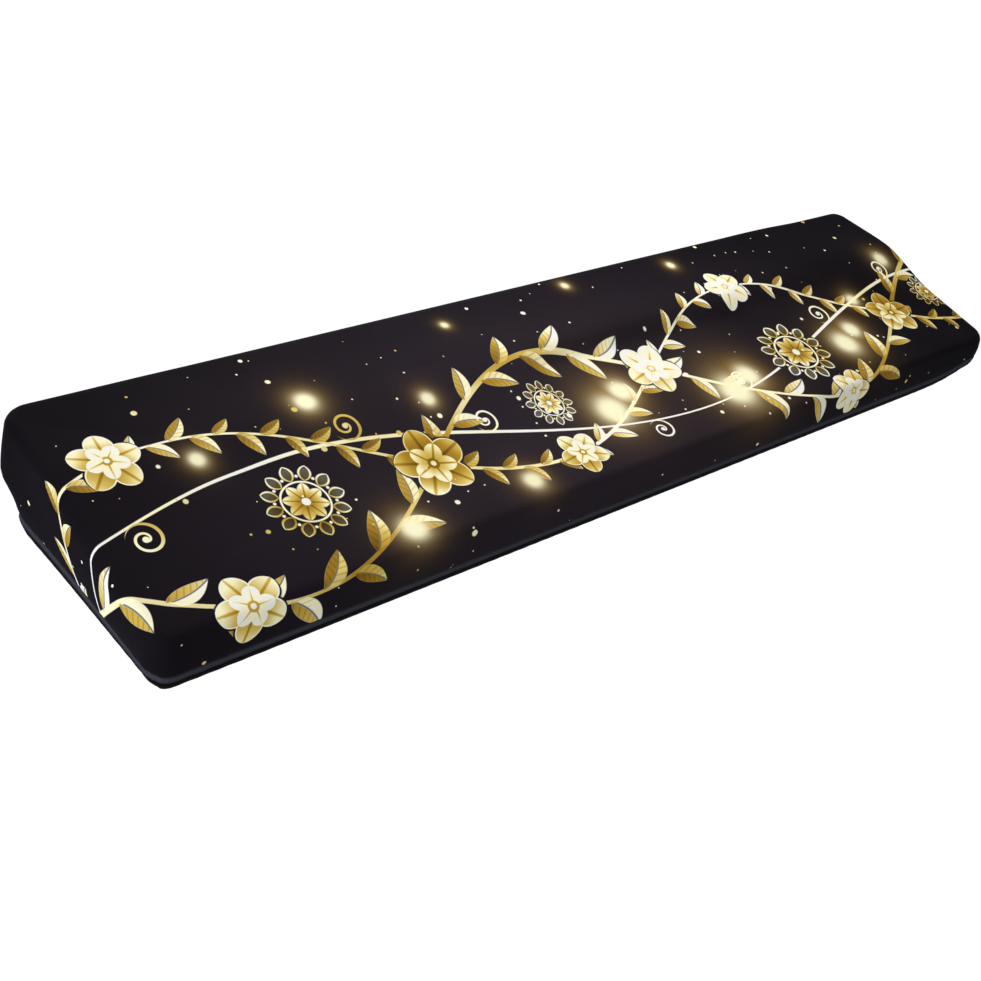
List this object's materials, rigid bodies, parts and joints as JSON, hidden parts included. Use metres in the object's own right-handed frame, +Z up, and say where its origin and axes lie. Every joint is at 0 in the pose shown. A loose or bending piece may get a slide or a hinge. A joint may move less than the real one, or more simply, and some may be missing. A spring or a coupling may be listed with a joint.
{
  "type": "keyboard dust cover",
  "caption": "Long stretch-cloth dust cover for a portable keyboard instrument: a stepped, hollow shell with rounded edges and an elastic hem, open below.",
  "frame": {"origin": "middle of the plane that the hem lies in, under the middle of the cover", "axes": "+Z up, +X along the length to the right, +Y from the front to the back"},
  "size_m": [1.3489, 0.3094, 0.1335],
  "materials": {
    "printed_cloth": "matt stretch cloth, near-black with a gold and ivory print"
  },
  "bodies": {
    "root": {"cover": "printed_cloth"}
  },
  "joints": []
}
